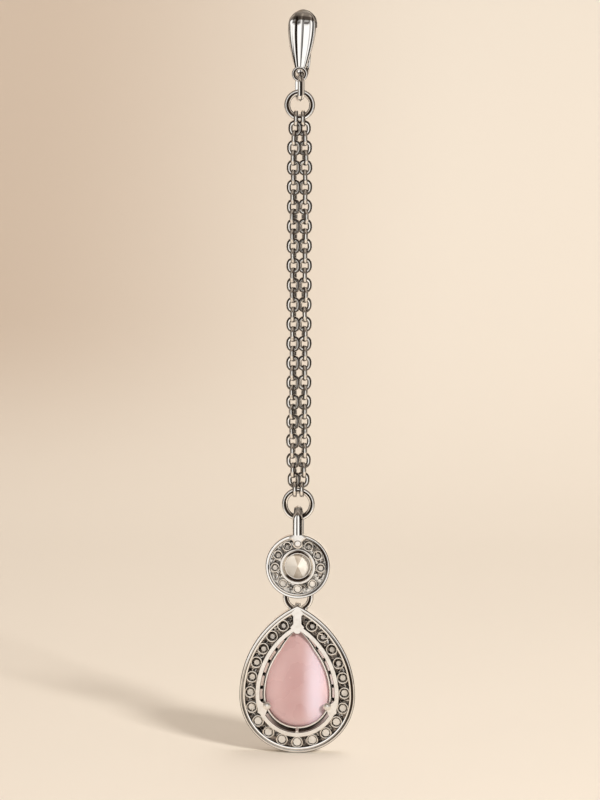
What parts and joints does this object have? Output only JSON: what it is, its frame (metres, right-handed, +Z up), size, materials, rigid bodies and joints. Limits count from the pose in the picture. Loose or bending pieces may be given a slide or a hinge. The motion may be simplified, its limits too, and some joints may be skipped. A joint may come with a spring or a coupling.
{
  "type": "maang tikka",
  "caption": "Forehead ornament in polished white metal: hair hook, twin fine chains, round stone halo and a pear drop with a pink cabochon.",
  "frame": {"origin": "inside top of the hair hook's bend, where the hair carries it, above the chains", "axes": "+Z up along the hanging ornament, +Y the side with the stones' faces, -Y the open back, +X to the right seen from the back"},
  "size_m": [0.0222, 0.0059, 0.1425],
  "materials": {
    "white_metal": "polished rhodium-plated metal, grey in the recesses",
    "chain_metal": "polished cable chain of round wire",
    "clear_stone": "clear faceted glass stones",
    "pink_stone": "pearly pink cabochon with a soft sheen"
  },
  "bodies": {
    "hook": {"hook": "white_metal", "hook_link": "white_metal"},
    "chains": {"top_ring": "white_metal", "chain_left": "chain_metal", "chain_right": "chain_metal"},
    "low_ring": {"low_ring": "white_metal"},
    "halo": {"halo": "white_metal", "round_stone": "clear_stone"},
    "pear": {"pear_frame": "white_metal", "pear_cabochon": "pink_stone"}
  },
  "joints": [
    {"name": "chain_swing", "type": "hinge", "parent": "hook", "child": "chains", "pos_m": [0, 0, -0.01521], "axis": [1, 0, 0], "range_deg": [-60, 60]},
    {"name": "halo_sway", "type": "hinge", "parent": "chains", "child": "low_ring", "pos_m": [0, 0, -0.09379], "axis": [0, 1, 0], "range_deg": [-35, 35]},
    {"name": "halo_swing", "type": "hinge", "parent": "low_ring", "child": "halo", "pos_m": [0, 0, -0.09639], "axis": [1, 0, 0], "range_deg": [-75, 75]},
    {"name": "pear_swing", "type": "hinge", "parent": "halo", "child": "pear", "pos_m": [0, 0.0003, -0.11417], "axis": [1, 0, 0], "range_deg": [-60, 60]}
  ]
}
